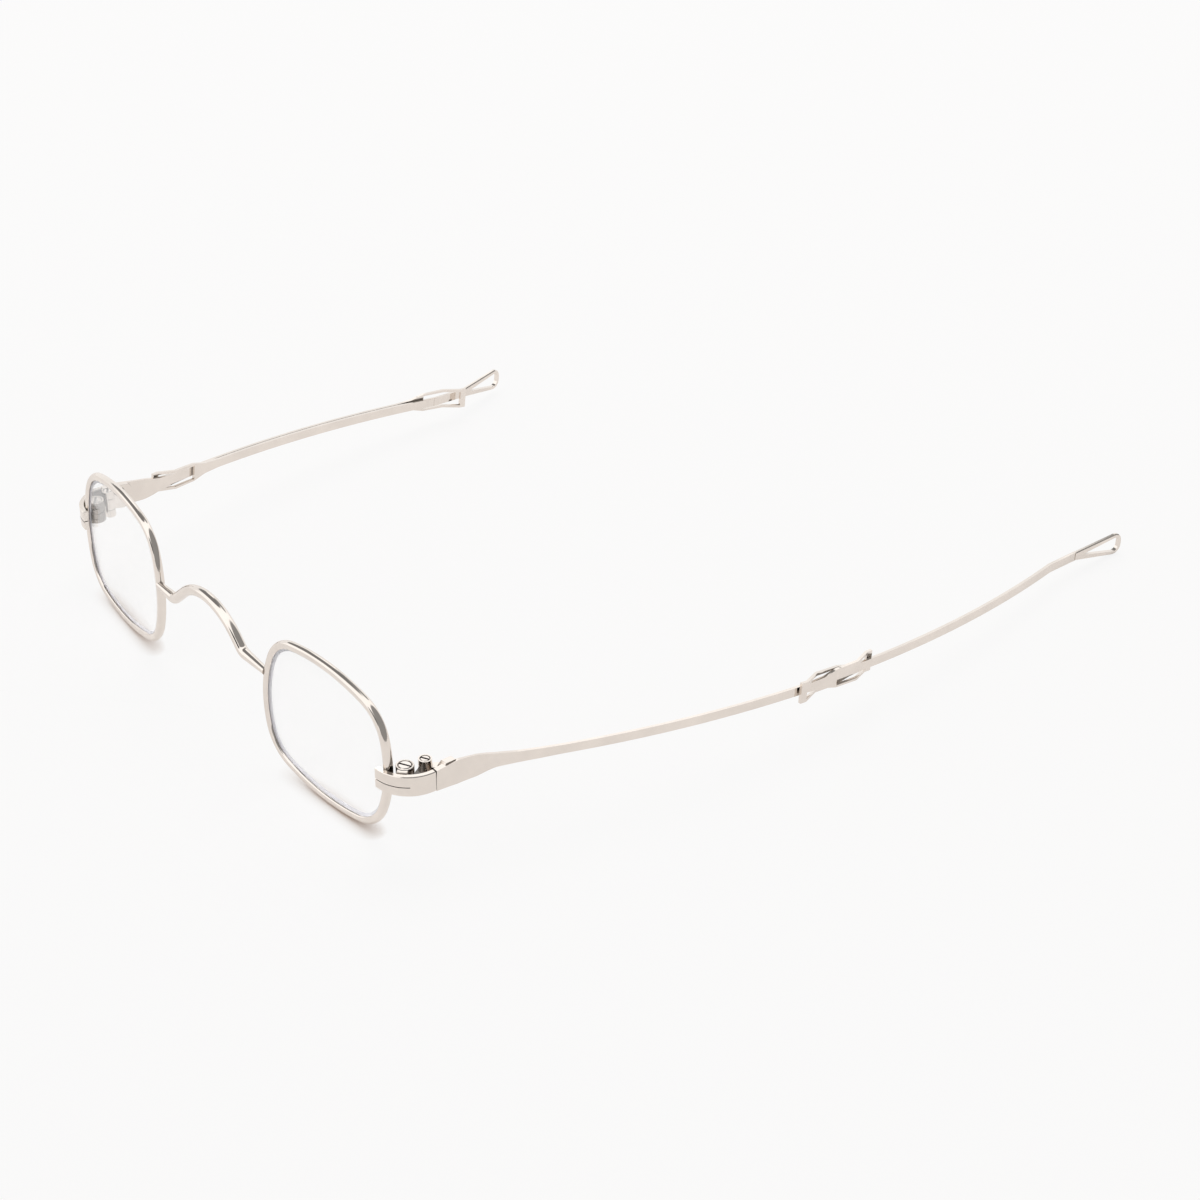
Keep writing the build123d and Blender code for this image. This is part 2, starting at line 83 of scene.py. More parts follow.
def filleted(corners, radii, step):
    # Points along a bent line whose inner corners are rounded to these radii.
    points = [corners[0]]
    for before, corner, after, radius in zip(corners, corners[1:], corners[2:], radii):
        back, ahead = (before - corner).normalized(), (after - corner).normalized()
        half = back.angle(ahead) / 2
        centre = corner + (back + ahead).normalized() * radius / math.sin(half)
        start = corner + back * radius / math.tan(half) - centre
        end = corner + ahead * radius / math.tan(half) - centre
        turn = start.angle_signed(end)
        count = max(fewest_steps, int(radius * abs(turn) / step))
        for k in range(count + 1):
            spot = start.copy()
            spot.rotate(Matrix.Rotation(-turn * k / count, 2))
            points.append(centre + spot)
    return points + [corners[-1]]


def placed(name, data):
    # Puts a new object of this name in the scene.
    thing = bpy.data.objects.new(name, data)
    bpy.context.scene.collection.objects.link(thing)
    return thing


def plain_mesh(name, thing):
    # The shape that an object's modifiers give it, as a mesh with none.
    shaped = thing.evaluated_get(bpy.context.evaluated_depsgraph_get())
    mesh = bpy.data.meshes.new_from_object(shaped)
    mesh.name = name
    return mesh


def wire_path(name, points, closed=False):
    # A drawn line that a wire follows, flat in its own plane.
    line = bpy.data.curves.new(name, "CURVE")
    line.dimensions = "3D"
    line.twist_mode = "Z_UP"
    spline = line.splines.new("POLY")
    spline.points.add(len(points) - 1)
    spline.use_cyclic_u = closed
    for spot, place in zip(spline.points, points):
        spot.co = (place[0], place[1], 0, 1)
    return placed(name, line)


def reckoned(tree, kind, *terms):
    # One step of arithmetic in a node tree, on numbers and on nodes' values.
    step = tree.nodes.new("ShaderNodeMath")
    step.operation = kind
    for place, term in zip(step.inputs, terms):
        if isinstance(term, bpy.types.NodeSocket):
            tree.links.new(term, place)
        else:
            place.default_value = term
    return step.outputs[0]


def wire_tree(name, finish, is_round):
    # Pulls a section along a path. Both ends may taper, as a filed foot does.
    tree = bpy.data.node_groups.new(name, "GeometryNodeTree")
    nodes, link = tree.nodes, tree.links.new
    kinds = {"Path": "Geometry", "Taper": "Float", "Taper share": "Float"}
    kinds |= {"Wire radius": "Float"} if is_round else {"Section": "Object"}
    for label, kind in kinds.items():
        tree.interface.new_socket(label, in_out="INPUT", socket_type="NodeSocket" + kind)
    tree.interface.new_socket("Wire", in_out="OUTPUT", socket_type="NodeSocketGeometry")
    given, result = nodes.new("NodeGroupInput"), nodes.new("NodeGroupOutput")
    along = nodes.new("GeometryNodeSplineParameter").outputs["Factor"]
    from_end = reckoned(tree, "MINIMUM", along, reckoned(tree, "SUBTRACT", 1.0, along))
    inward = reckoned(tree, "DIVIDE", from_end, given.outputs["Taper share"])
    inward = reckoned(tree, "MINIMUM", inward, 1.0)
    curved = reckoned(tree, "POWER", reckoned(tree, "SUBTRACT", 1.0, inward), 3.0)
    filed = reckoned(tree, "MULTIPLY", curved, given.outputs["Taper"])
    if is_round:
        circle = nodes.new("GeometryNodeCurvePrimitiveCircle")
        circle.inputs["Resolution"].default_value = wire_sides
        link(given.outputs["Wire radius"], circle.inputs["Radius"])
        section = circle.outputs["Curve"]
    else:
        held = nodes.new("GeometryNodeObjectInfo")
        link(given.outputs["Section"], held.inputs["Object"])
        section = held.outputs["Geometry"]
    pull = nodes.new("GeometryNodeCurveToMesh")
    pull.inputs["Fill Caps"].default_value = True
    link(given.outputs["Path"], pull.inputs["Curve"])
    link(section, pull.inputs["Profile Curve"])
    link(reckoned(tree, "SUBTRACT", 1.0, filed), pull.inputs["Scale"])
    solid = nodes.new("GeometryNodeRealizeInstances")
    link(pull.outputs["Mesh"], solid.inputs["Geometry"])
    coat = nodes.new("GeometryNodeSetMaterial")
    coat.inputs["Material"].default_value = finish
    link(solid.outputs["Geometry"], coat.inputs["Geometry"])
    link(coat.outputs["Geometry"], result.inputs["Wire"])
    return tree


def drawn_wire(name, path, tree, sizes):
    # Runs the tree on a path and keeps only the plain mesh that it makes.
    pull = path.modifiers.new("pull", "NODES")
    pull.node_group = tree
    for socket in tree.interface.items_tree:
        if socket.in_out == "INPUT" and socket.name in sizes:
            pull[socket.identifier] = sizes[socket.name]
    mesh = plain_mesh(name, path)
    bpy.data.objects.remove(path)
    return placed(name, mesh)


def new_finish(name, settings):
    # A finish that starts from these settings, with its tree and its sockets.
    finish = bpy.data.materials.new(name)
    finish.use_nodes = True
    coat = finish.node_tree.nodes["Principled BSDF"].inputs
    for setting, value in settings.items():
        coat[setting].default_value = value
    return finish, finish.node_tree, coat


def mottled(tree, **settings):
    # An uneven pattern in the piece's own space: clouds, smears or fine grain.
    pattern = tree.nodes.new("ShaderNodeTexNoise")
    place = tree.nodes.new("ShaderNodeTexCoord")
    tree.links.new(place.outputs["Object"], pattern.inputs["Vector"])
    for setting, value in settings.items():
        pattern.inputs[setting].default_value = value
    return pattern.outputs["Fac"]


def stepped(tree, source, begin, end, low, high, curve="LINEAR"):
    # A value that goes from low to high while its source goes from begin to end.
    step = tree.nodes.new("ShaderNodeMapRange")
    step.interpolation_type = curve
    tree.links.new(source, step.inputs["Value"])
    step.inputs["From Min"].default_value = begin
    step.inputs["From Max"].default_value = end
    step.inputs["To Min"].default_value = low
    step.inputs["To Max"].default_value = high
    return step.outputs["Result"]


def tinted(tree, source, stops):
    # A colour that follows a value from stop to stop.
    ramp = tree.nodes.new("ShaderNodeValToRGB")
    tree.links.new(source, ramp.inputs["Fac"])
    for end, (position, colour) in zip(ramp.color_ramp.elements, (stops[0], stops[-1])):
        end.position, end.color = position, (*colour, 1)
    for position, colour in stops[1:-1]:
        ramp.color_ramp.elements.new(position).color = (*colour, 1)
    return ramp.outputs["Color"]


def layered(tree, share, under, over):
    # A colour, and another laid over it by a share.
    mix = tree.nodes.new("ShaderNodeMix")
    mix.data_type = "RGBA"
    tree.links.new(share, mix.inputs["Factor"])
    tree.links.new(under, mix.inputs[6])
    mix.inputs[7].default_value = (*over, 1)
    return mix.outputs[2]


def silver(name, tone, grain, shine, black):
    # Polished silver: a warm mirror with faint clouds, the fine grain that a
    # polisher leaves, and black tarnish with painted shade where a corner is nearly closed.
    finish, tree, coat = new_finish(name, {"Metallic": 1.0})
    cloud = mottled(tree, Scale=cloud_scale, Detail=cloud_detail)
    dim = tuple(share * cloud_dim for share in tone)
    tint = tinted(tree, cloud, [(cloud_thin, dim), (cloud_thick, tone)])
    # Painted shade and tarnish: the colour goes dark where ambient occlusion finds a corner closed.
    corner = tree.nodes.new("ShaderNodeAmbientOcclusion")
    corner.samples = corner_samples
    corner.inputs["Distance"].default_value = corner_reach
    closed = corner.outputs["AO"]
    closed = stepped(tree, closed, corner_closed, corner_open, black, 0.0, "SMOOTHSTEP")
    tree.links.new(layered(tree, closed, tint, tarnish_and_shade_tone), coat["Base Color"])
    hair = mottled(tree, Scale=grain, Detail=hair_detail, Roughness=hair_roughness)
    haze = stepped(tree, hair, hair_thin, hair_thick, shine, shine + hair_haze)
    tree.links.new(haze, coat["Roughness"])
    relief = tree.nodes.new("ShaderNodeBump")
    relief.inputs["Strength"].default_value = hair_strength
    relief.inputs["Distance"].default_value = hair_depth
    tree.links.new(hair, relief.inputs["Height"])
    tree.links.new(relief.outputs["Normal"], coat["Normal"])
    return finish


wire_silver = silver("drawn wire silver", silver_tone, wire_grain, wire_shine, wire_black)
peak = arch_top + arch_radius * (1 / math.cos(flank_angle) - 1)
left_bend_x = (peak - left_foot_z) / math.tan(flank_angle)
right_bend_x = (right_foot_z - peak) / math.tan(flank_angle)
corners = [Vector((foot_x, left_foot_z)), Vector((left_bend_x, left_foot_z)), Vector((0, peak))]
corners += [Vector((right_bend_x, right_foot_z)), Vector((-foot_x, right_foot_z))]
line = filleted(corners, [dip_radius, arch_radius, dip_radius], bridge_step)
path = wire_path("bridge path", line)
tree = wire_tree("bridge wire", wire_silver, True)
sizes = {"Wire radius": wire_radius, "Taper": foot_taper, "Taper share": foot_share}
bridge = drawn_wire("bridge_wire", path, tree, sizes)
upright = Matrix.Rotation(math.pi / 2, 4, "X")
bridge.data.transform(Matrix.Translation((0, 0, -saddle_height)) @ upright)
bridge.data.shade_smooth()
bridge.data.set_sharp_from_angle(angle=wire_edge)
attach(bridge, "front")
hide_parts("bridge")


# Eyewires
# Half-round silver wire with a groove inside for the lens, bent to a barrel
# sided oval and sawn through behind the endpiece so that it opens there.
side_arc, top_arc, corner_arc = 19.7 * mm, 40.4 * mm, 7.9 * mm
half_width, half_height = 16.0 * mm, 12.7 * mm
wire_width, wire_depth, groove = 1.35 * mm, 1.3 * mm, 0.42 * mm
crown_width, half_deep, crown_steps = 0.6 * mm, 0.72 * mm, 16
lip_width, lip_depth, lip_steps = 0.5 * mm, 0.32 * mm, 5
lens_spread, front_shift = 32.3 * mm, 0.45 * mm
wrap, droop, lean = math.radians(5.5), math.radians(2.6), math.radians(2.5)
saw_height = {"left": 0.12 * mm, "right": 0.77 * mm}
saw_half, saw_clear = 0.07 * mm, 0.21 * mm
rim_step, rim_edge = 0.35 * mm, math.radians(50)
merge_gap = 0.0002 * mm


def oval(inset, step):
    # The outline seen from the front, a distance inside the rim's outer edge.
    side = Vector((half_width - side_arc, 0))
    top = Vector((0, half_height - top_arc))
    side_reach, top_reach = side_arc - corner_arc, top_arc - corner_arc
    span = top - side
    run = (side_reach**2 - top_reach**2 + span.length**2) / (2 * span.length)
    off = math.sqrt(side_reach**2 - run**2)
    unit = span.normalized()
    corner = side + unit * run - Vector((unit.y, -unit.x)) * off
    side_turn = math.atan2(corner.y - side.y, corner.x - side.x)
    top_turn = math.atan2(corner.y - top.y, corner.x - top.x)
    arcs = [(side, side_arc, 0, side_turn), (corner, corner_arc, side_turn, top_turn)]
    arcs += [(top, top_arc, top_turn, math.pi / 2)]
    quarter = []
    for centre, radius, begin, end in arcs:
        count = max(fewest_steps, int(radius * (end - begin) / step))
        for k in range(count):
            turn = begin + (end - begin) * k / count
            ray = Vector((math.cos(turn), math.sin(turn)))
            quarter.append(centre + ray * (radius - inset))
    quarter.append(Vector((0, half_height - inset)))
    left = [Vector((-p.x, p.y)) for p in reversed(quarter[1:-1])]
    upper = quarter + left + [Vector((-half_width + inset, 0))]
    return upper + [Vector((p.x, -p.y)) for p in reversed(upper[1:-1])]


def eye_seat(side):
    # Where an eye drawn upright at the origin stands in the frame.
    put = Matrix.Translation((0, front_shift, -saddle_height))
    put = put @ Matrix.Rotation(-lean, 4, "X")
    put = put @ Matrix.Translation((lens_spread, 0, half_height))
    put = put @ Matrix.Rotation(wrap, 4, "Z")
    put = put @ Matrix.Rotation(droop, 4, "Y")
    if side == "right":
        put = Matrix.Scale(-1, 4, (1, 0, 0)) @ put
    return put


def outward(mesh):
    # Merges doubled points and turns every face outwards.
    work = bmesh.new()
    work.from_mesh(mesh)
    bmesh.ops.remove_doubles(work, verts=work.verts, dist=merge_gap)
    bmesh.ops.recalc_face_normals(work, faces=work.faces)
    work.to_mesh(mesh)
    work.free()


rim_middle = wire_depth / 2
section, lip = [], []
for k in range(crown_steps + 1):
    turn = math.pi * k / crown_steps
    inset = crown_width * (1 - math.sin(turn))
    section.append((inset, rim_middle - half_deep * math.cos(turn)))
for k in range(1, lip_steps + 1):
    turn = math.pi / 2 * k / lip_steps
    inset = wire_width - lip_width * (1 - math.sin(turn))
    lip.append((inset, lip_depth * (1 - math.cos(turn))))
section += [(inset, rim_middle + half_deep - depth) for inset, depth in lip]
section += [(wire_width - groove, rim_middle)]
section += [(inset, rim_middle - half_deep + depth) for inset, depth in reversed(lip)]
for side in ("left", "right"):
    cut = saw_height[side]
    ring = [p for p in oval(0, rim_step) if p.x < 0 or abs(p.y - cut) > saw_clear]
    split = next(k for k, p in enumerate(ring) if p.x > 0 and p.y > cut)
    ring = ring[split:] + ring[:split]
    edge = half_width - cut * cut / (2 * side_arc)
    ring = [Vector((edge, cut + saw_half))] + ring + [Vector((edge, cut - saw_half))]
    path = wire_path("rim path", ring)
    shape = wire_path("rim section", [(-inset, depth) for inset, depth in section], True)
    tree = wire_tree("rim wire", wire_silver, False)
    sizes = {"Section": shape, "Taper": 0.0, "Taper share": 1.0}
    rim = drawn_wire("rim_" + side, path, tree, sizes)
    bpy.data.objects.remove(shape)
    rim.data.transform(eye_seat(side) @ upright)
    outward(rim.data)
    rim.data.shade_smooth()
    rim.data.set_sharp_from_angle(angle=rim_edge)
    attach(rim, "front")
    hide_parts("eyewire_" + side)


# Lenses
# Thin lenses of clear glass with a slight curve, ground to a bevel all round
# that sits in the groove of the rim.
tip_play, front_bevel, rear_bevel = 0.03 * mm, 0.28 * mm, 0.85 * mm
lens_tip = wire_width - groove + tip_play
front_edge, rear_edge = lens_tip + front_bevel, lens_tip + rear_bevel
front_half, rear_half = 0.25 * mm, 0.42 * mm
lens_crown, lens_step, lens_edge = 0.45 * mm, 0.8 * mm, math.radians(25)
crown_shares = [1, 0.92, 0.8, 0.64, 0.48, 0.32, 0.16]
glass_bend, glass_clear = 1.5, 0.94
smear_scale, smear_detail, smear_twist = 90, 5, 1.2
smear_thin, smear_thick, smear_haze = 0.5, 0.8, 0.03
edge_clear, edge_matt, grit_scale = 0.1, 0.5, 3000
edge_tones = [(0, (0.91, 0.90, 0.95)), (1, (0.97, 0.96, 0.99))]


def lens_glass():
    # Clear glass with the faint smears that a cloth leaves.
    clear = {"Transmission Weight": glass_clear, "IOR": glass_bend, "Base Color": (1, 1, 1, 1)}
    finish, tree, coat = new_finish("clear lens glass", clear)
    smear = mottled(tree, Scale=smear_scale, Detail=smear_detail, Distortion=smear_twist)
    haze = stepped(tree, smear, smear_thin, smear_thick, 0.0, smear_haze)
    tree.links.new(haze, coat["Roughness"])
    return finish


def ground_edge():
    # The bevel is ground matt, so it looks faintly lilac against the clear face.
    matt = {"Transmission Weight": edge_clear, "IOR": glass_bend, "Roughness": edge_matt}
    finish, tree, coat = new_finish("ground lens edge", matt)
    grit = mottled(tree, Scale=grit_scale)
    tree.links.new(tinted(tree, grit, edge_tones), coat["Base Color"])
    return finish


def lens_ring(work, inset, share, depth):
    # A ring of points on the lens, a share of the way out from its middle.
    bow = lens_crown * (1 - share * share)
    return [work.verts.new((p.x * share, depth - bow, p.y * share)) for p in oval(inset, lens_step)]


glass, bevel_ground = lens_glass(), ground_edge()
front_face, rear_face = rim_middle - front_half, rim_middle + rear_half
for side in ("left", "right"):
    work = bmesh.new()
    rings = [lens_ring(work, front_edge, share, front_face) for share in reversed(crown_shares)]
    rings += [lens_ring(work, lens_tip, 1, rim_middle)]
    rings += [lens_ring(work, rear_edge, share, rear_face) for share in crown_shares]
    tip = rings[len(crown_shares)]
    for ring, after in zip(rings, rings[1:]):
        for k in range(len(ring)):
            ahead = (k + 1) % len(ring)
            face = work.faces.new((ring[k], ring[ahead], after[ahead], after[k]))
            face.smooth = True
            face.material_index = 1 if ring is tip or after is tip else 0
    for ring, depth in ((rings[0], front_face), (rings[-1], rear_face)):
        hub = work.verts.new((0, depth - lens_crown, 0))
        for k in range(len(ring)):
            work.faces.new((ring[k], ring[(k + 1) % len(ring)], hub)).smooth = True
    mesh = bpy.data.meshes.new("lens_glass_" + side)
    work.to_mesh(mesh)
    work.free()
    mesh.materials.append(glass)
    mesh.materials.append(bevel_ground)
    mesh.transform(eye_seat(side))
    outward(mesh)
    mesh.set_sharp_from_angle(angle=lens_edge)
    lens = placed("lens_glass_" + side, mesh)
    lens.visible_shadow = False
    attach(lens, "front")
    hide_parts("lens_" + side)


# Endpiece bands
# Flat silver strip bent round the corner of each rim, slit lengthwise from
# the front so that the rim can be opened. The edges are only just eased.
band_ease, ease_steps = 0.12 * mm, 2
band_middle = {"left": -8.18 * mm, "right": -7.53 * mm}
bend_x, bend_y = 46.3 * mm, 7.75 * mm
slit_drop, slit_width, slit_turn = -0.142 * mm, 0.14 * mm, math.radians(-33)
blade_reach, blade_length = 20 * mm, 10 * mm
weld_gap = 0.0005 * mm
flat_angle, edge_angle = math.radians(0.3), math.radians(28)
strip_grain, strip_shine, strip_black = 1800, 0.05, 0.3


def slit_saw(side):
    # The saw that cuts the slit, as far round the bend as it is seen to go.
    blade = placed("slit saw", bpy.data.meshes.new("slit saw"))
    work = bmesh.new()
    bmesh.ops.create_cube(work, size=1)
    work.to_mesh(blade.data)
    work.free()
    put = Matrix.Translation((bend_x, bend_y, band_middle[side] + slit_drop))
    put = put @ Matrix.Rotation(slit_turn, 4, "Z")
    put = put @ Matrix.Translation((0, -blade_length / 2, 0))
    put = put @ Matrix.Diagonal((blade_reach, blade_length, slit_width, 1))
    if side == "right":
        put = Matrix.Scale(-1, 4, (1, 0, 0)) @ put
    blade.data.transform(put)
    outward(blade.data)
    return blade


def eased(node, name, finish, ease, saw=None):
    # A piece as filed from the solid, sawn where it has a slit, with its edges
    # eased by a polisher.
    mesh = frame["nodes"][node].data.copy()
    mesh.name = name
    work = bmesh.new()
    work.from_mesh(mesh)
    bmesh.ops.remove_doubles(work, verts=work.verts, dist=weld_gap)
    bmesh.ops.dissolve_limit(work, angle_limit=flat_angle, verts=work.verts, edges=work.edges)
    work.to_mesh(mesh)
    work.free()
    mesh.attributes.remove(mesh.attributes["custom_normal"])
    piece = placed(name, mesh)
    if saw:
        cut = piece.modifiers.new("sawn", "BOOLEAN")
        cut.operation = "DIFFERENCE"
        cut.solver = "EXACT"
        cut.object = saw
        mesh = plain_mesh(name, piece)
        piece.modifiers.clear()
        piece.data = mesh
        bpy.data.objects.remove(saw)
    mesh.materials.clear()
    mesh.materials.append(finish)
    mesh.shade_smooth()
    mesh.set_sharp_from_angle(angle=edge_angle)
    if ease:
        soften = piece.modifiers.new("eased edges", "BEVEL")
        soften.width = ease
        soften.segments = ease_steps
        soften.limit_method = "ANGLE"
        soften.angle_limit = edge_angle
        soften.harden_normals = True
        soften.use_clamp_overlap = True
    body = frame["nodes"][node]["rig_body"]
    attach(piece, body)
    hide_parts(node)


strip_silver = silver("polished strip silver", silver_tone, strip_grain, strip_shine, strip_black)
for side in ("left", "right"):
    eased("endpiece_band_" + side, "corner_band_" + side, strip_silver, band_ease, slit_saw(side))


# Closing blocks
# Two half barrels of silver, soldered behind the slit band. The screw draws
# them together, and with them the ends of the rim.
barrel_x, barrel_y, barrel_radius = 48.55 * mm, 5.4 * mm, 1.42 * mm
barrel_ease = 0.12 * mm
# Painted shade on the hinges: level faces nearer than this to the band's middle, and a ring round
# each barrel, are painted dark.
unshaded_height, unshaded_fade = 1.62 * mm, 0.05 * mm
flat_shade, seam_shade, painted_shade_tone = 0.85, 0.95, (0.03, 0.027, 0.025)
sloping, level = 0.6, 0.9
seam_off, seam_half, seam_edge = 0.11 * mm, 0.07 * mm, 0.12 * mm


def shade_painted_silver(name, middle, axis=None):
    # Silver with painted shade. Level faces close to the band's middle are
    # painted near black, so that only the outer ends stay bright, and so is a
    # thin ring round a barrel, where the axis of one is given.
    finish = silver(name, silver_tone, strip_grain, strip_shine, strip_black)
    tree, link = finish.node_tree, finish.node_tree.links.new
    base = tree.nodes["Principled BSDF"].inputs["Base Color"]
    unshaded = base.links[0].from_socket
    place = tree.nodes.new("ShaderNodeTexCoord")
    spot = tree.nodes.new("ShaderNodeSeparateXYZ")
    link(place.outputs["Object"], spot.inputs["Vector"])
    outlook = tree.nodes.new("ShaderNodeSeparateXYZ")
    link(place.outputs["Normal"], outlook.inputs["Vector"])
    rise = reckoned(tree, "ABSOLUTE", reckoned(tree, "SUBTRACT", spot.outputs["Z"], middle))
    begin, end = unshaded_height - unshaded_fade, unshaded_height + unshaded_fade
    deep = stepped(tree, rise, begin, end, flat_shade, 0.0)
    flat = reckoned(tree, "ABSOLUTE", outlook.outputs["Z"])
    share = reckoned(tree, "MULTIPLY", deep, stepped(tree, flat, sloping, level, 0.0, 1.0))
    if axis:
        across = tree.nodes.new("ShaderNodeCombineXYZ")
        link(spot.outputs["X"], across.inputs["X"])
        link(spot.outputs["Y"], across.inputs["Y"])
        reach = tree.nodes.new("ShaderNodeVectorMath")
        reach.operation = "DISTANCE"
        reach.inputs[1].default_value = (*axis, 0)
        link(across.outputs[0], reach.inputs[0])
        off = reckoned(tree, "SUBTRACT", reach.outputs["Value"], barrel_radius + seam_off)
        off = reckoned(tree, "ABSOLUTE", off)
        seam = stepped(tree, off, seam_half, seam_edge, seam_shade, 0.0)
        share = reckoned(tree, "MAXIMUM", share, seam)
    link(layered(tree, share, unshaded, painted_shade_tone), base)
    return finish


for side, turned in (("left", 1), ("right", -1)):
    axis = (turned * barrel_x, barrel_y)
    # The barrels get silver with painted shade between them and the band.
    finish = shade_painted_silver("barrel silver " + side, band_middle[side], axis)
    for half in ("upper", "lower"):
        node = "closing_block_" + half + "_" + side
        eased(node, "barrel_" + half + "_" + side, finish, barrel_ease)


# Closing screws
# Small turned silver screws with a slotted cheese head that is sunk in the
# upper barrel. They are backed out only to change a lens.
screw_tone, screw_grain, screw_shine, screw_black = (0.82, 0.76, 0.71), 3500, 0.07, 0.88
screw_ease = 0.03 * mm
screw_silver = silver("turned screw silver", screw_tone, screw_grain, screw_shine, screw_black)
for side in ("left", "right"):
    eased("closing_screw_" + side, "rim_screw_" + side, screw_silver, screw_ease)


# Front hinges
# Two outer knuckles of silver on a pad that is soldered inside the band. The
# pivot screw runs down through both.
knuckle_ease = 0.1 * mm
for side in ("left", "right"):
    # The knuckles get silver with painted shade between them and the band.
    finish = shade_painted_silver("knuckle silver " + side, band_middle[side])
    eased("front_hinge_" + side, "front_knuckles_" + side, finish, knuckle_ease)


# Hinge leaves
# The middle knuckle of each hinge, on a plate that is soldered inside the
# broad root of the temple.
leaf_ease = 0.03 * mm
for side in ("left", "right"):
    eased("hinge_leaf_" + side, "temple_knuckle_" + side, strip_silver, leaf_ease)


# Hinge screws
# The pivots of the temples, turned and slotted like the closing screws but
# thinner.
for side in ("left", "right"):
    eased("hinge_screw_" + side, "pivot_screw_" + side, screw_silver, screw_ease)


# Temple strips
# Flat silver strip that starts as a broad paddle at the hinge and ends in a
# pierced loop, through which the rear strip runs. It keeps its filed edges.
for side in ("left", "right"):
    eased("temple_strip_" + side, "front_strip_" + side, strip_silver, 0)


# Sliding strips
# The rear strips, each with a pierced loop round the front strip and an open
# teardrop at its tail. They keep their filed edges too.
for side in ("left", "right"):
    eased("temple_slide_" + side, "rear_strip_" + side, strip_silver, 0)


# Table and light tent
# The spectacles stand on a white table in a white tent, lit by a softbox high
# at the back. The tent is dark on its right side, round a bright card high at
# the back, and in a patch low in front of the lenses.
table_height, table_reach = -20.48 * mm, 6.0
table_paint, table_glow = (0.93, 0.885, 0.86), (0.965, 0.965, 0.965)
shadow_reach, shadow_samples, shadow_slant = 2.6 * mm, 6, (-0.8, -0.35, 0.5)
shadow_tones = [(0.5, (0.22, 0.14, 0.10)), (0.68, (0.50, 0.41, 0.35))]
shadow_tones += [(0.84, (0.86, 0.83, 0.81)), (0.96, table_glow)]
shadow_fade, shadow_end = 12 * mm, 22 * mm
seen_glow, mirrored_glow = 0.9, 0.55
cloth_light, backdrop = 1.3, (0.957, 0.957, 0.957)
dark_places = {
    "open side": ((0.98, 0.19, 0), 0.10, 0.22, 0.76),
    "far side": ((-0.82, 0.57, 0), 0.42, 0.58, 0.2),
    "gap": ((-0.669, 0.023, 0.743), 0.885, 0.91, 0.82),
    "end of the gap": ((-0.4465, 0.532, 0.719), 0.958, 0.97, 0.74),
    "low in front": ((0.14, -0.93, 0.34), 0.955, 0.98, 0.96),
}
card_place = ((-0.697, 0.427, 0.575), 0.986, 0.994)
far_side_top = ((0, 0, 1), 0.42, 0.5)
lamp_width, lamp_height, lamp_power = 0.9, 0.7, 6
lamp_stand = (-0.55, 0.5, 0.95)


def seen_directly(tree, ray):
    # Whether the camera sees a thing itself, also through a lens.
    return reckoned(tree, "MAXIMUM", ray["Is Camera Ray"], ray["Is Transmission Ray"])


def table_white():
    # Matt white paint that looks even to the camera, with a brown shadow close
    # to where the rims stand.
    finish = bpy.data.materials.new("white table")
    finish.use_nodes = True
    tree, link = finish.node_tree, finish.node_tree.links.new
    tree.nodes.clear()
    lit = tree.nodes.new("ShaderNodeBsdfDiffuse")
    lit.inputs["Color"].default_value = (*table_paint, 1)
    contact = tree.nodes.new("ShaderNodeAmbientOcclusion")
    contact.samples = shadow_samples
    contact.inputs["Distance"].default_value = shadow_reach
    slant = tree.nodes.new("ShaderNodeCombineXYZ")
    for axis, share in zip("XYZ", shadow_slant):
        slant.inputs[axis].default_value = share
    link(slant.outputs[0], contact.inputs["Normal"])
    shadow = tinted(tree, contact.outputs["AO"], shadow_tones)
    place = tree.nodes.new("ShaderNodeTexCoord")
    spot = tree.nodes.new("ShaderNodeSeparateXYZ")
    link(place.outputs["Object"], spot.inputs["Vector"])
    past_rims = spot.outputs["Y"]
    past_rims = stepped(tree, past_rims, shadow_fade, shadow_end, 0.0, 1.0, "SMOOTHSTEP")
    glow = tree.nodes.new("ShaderNodeEmission")
    link(layered(tree, past_rims, shadow, table_glow), glow.inputs["Color"])
    ray = tree.nodes.new("ShaderNodeLightPath").outputs
    seen = reckoned(tree, "MULTIPLY", seen_directly(tree, ray), seen_glow)
    mirrored = reckoned(tree, "MULTIPLY", ray["Is Glossy Ray"], mirrored_glow)
    mix = tree.nodes.new("ShaderNodeMixShader")
    link(reckoned(tree, "MAXIMUM", seen, mirrored), mix.inputs["Fac"])
    link(lit.outputs[0], mix.inputs[1])
    link(glow.outputs[0], mix.inputs[2])
    link(mix.outputs[0], tree.nodes.new("ShaderNodeOutputMaterial").inputs["Surface"])
    return finish


def towards(tree, direction, begin, end, low, high):
    # A value that goes from low to high as the tent turns towards a direction.
    sky = tree.nodes.new("ShaderNodeTexCoord")
    aim = tree.nodes.new("ShaderNodeVectorMath")
    aim.operation = "DOT_PRODUCT"
    aim.inputs[1].default_value = Vector(direction).normalized()
    tree.links.new(sky.outputs["Generated"], aim.inputs[0])
    return stepped(tree, aim.outputs["Value"], begin, end, low, high, "SMOOTHSTEP")


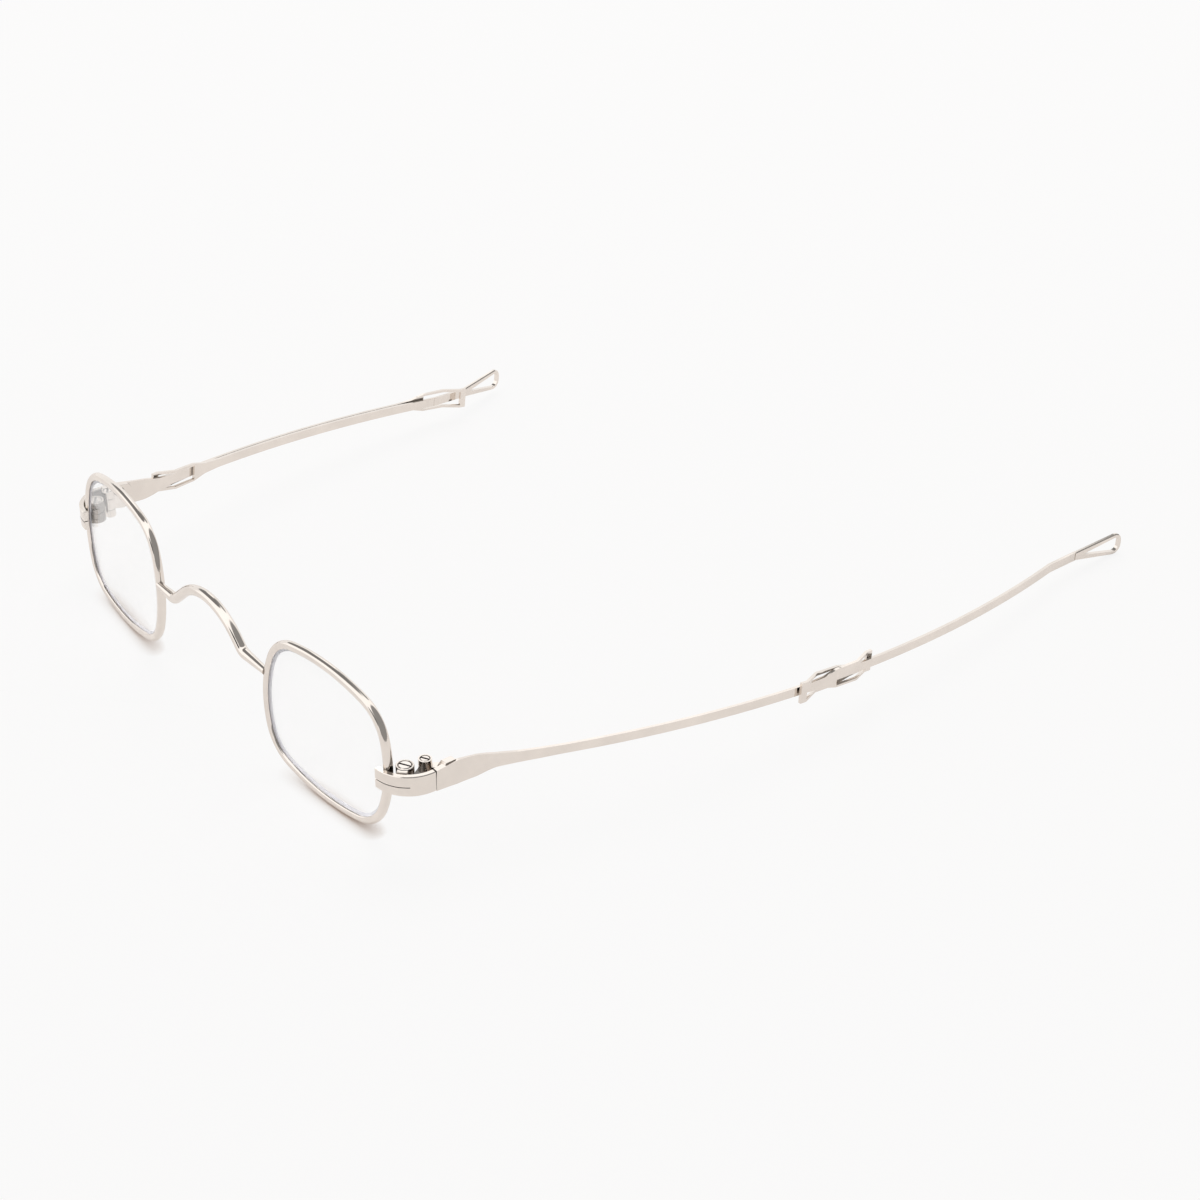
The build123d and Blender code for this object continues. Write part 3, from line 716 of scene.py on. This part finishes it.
def light_tent():
    # White cloth with its dark places, and a plain backdrop for the camera.
    world = bpy.data.worlds.new("light tent")
    world.use_nodes = True
    tree, link = world.node_tree, world.node_tree.links.new
    tree.nodes.clear()
    dark = {}
    for name, (direction, begin, end, depth) in dark_places.items():
        dark[name] = towards(tree, direction, begin, end, 0.0, depth)
    behind = reckoned(tree, "MAXIMUM", dark["gap"], dark["end of the gap"])
    behind = reckoned(tree, "MULTIPLY", behind, towards(tree, *card_place, 1.0, 0.0))
    below = towards(tree, *far_side_top, 1.0, 0.0)
    behind = reckoned(tree, "MAXIMUM", behind, reckoned(tree, "MULTIPLY", dark["far side"], below))
    darkest = reckoned(tree, "MAXIMUM", dark["open side"], behind)
    darkest = reckoned(tree, "MAXIMUM", darkest, dark["low in front"])
    cloth = tree.nodes.new("ShaderNodeBackground")
    cloth.inputs["Color"].default_value = (1, 1, 1, 1)
    light = reckoned(tree, "MULTIPLY_ADD", darkest, -cloth_light, cloth_light)
    link(light, cloth.inputs["Strength"])
    plain = tree.nodes.new("ShaderNodeBackground")
    plain.inputs["Color"].default_value = (*backdrop, 1)
    ray = tree.nodes.new("ShaderNodeLightPath").outputs
    mix = tree.nodes.new("ShaderNodeMixShader")
    link(seen_directly(tree, ray), mix.inputs["Fac"])
    link(cloth.outputs[0], mix.inputs[1])
    link(plain.outputs[0], mix.inputs[2])
    link(mix.outputs[0], tree.nodes.new("ShaderNodeOutputWorld").inputs["Surface"])
    return world


table = placed("table", bpy.data.meshes.new("table"))
corners = [(-1, -1), (1, -1), (1, 1), (-1, 1)]
corners = [(x * table_reach, y * table_reach, table_height) for x, y in corners]
table.data.from_pydata(corners, [], [(0, 1, 2, 3)])
table.data.materials.append(table_white())
bpy.context.scene.world = light_tent()
lamp = bpy.data.lights.new("softbox", "AREA")
lamp.shape = "RECTANGLE"
lamp.size, lamp.size_y, lamp.energy = lamp_width, lamp_height, lamp_power
softbox = placed("softbox", lamp)
softbox.location = lamp_stand
softbox.rotation_euler = (-softbox.location).to_track_quat("-Z", "Y").to_euler()
softbox.visible_glossy = False


# Camera
# Stands where the photograph was taken, on the wearer's left in front of the
# spectacles, and looks down at them.
sensor_width, focal_length = 36.0, 90.95
nearest, farthest = 0.01, 50
right = Vector((0.5883, 0.8086, -0.0029))
up = Vector((-0.4275, 0.3141, 0.8477))
back = Vector((0.6864, -0.4975, 0.5304))
stand = Vector((367.664 * mm, -190.037 * mm + front_shift, 276.515 * mm - saddle_height))
view = bpy.data.cameras.new("camera")
view.sensor_fit = "HORIZONTAL"
view.sensor_width, view.lens = sensor_width, focal_length
view.clip_start, view.clip_end = nearest, farthest
camera = placed("camera", view)
turn = Matrix((right, up, back)).transposed().to_4x4()
camera.matrix_world = Matrix.Translation(stand) @ turn
bpy.context.scene.camera = camera
bpy.context.scene.view_settings.view_transform = "Standard"
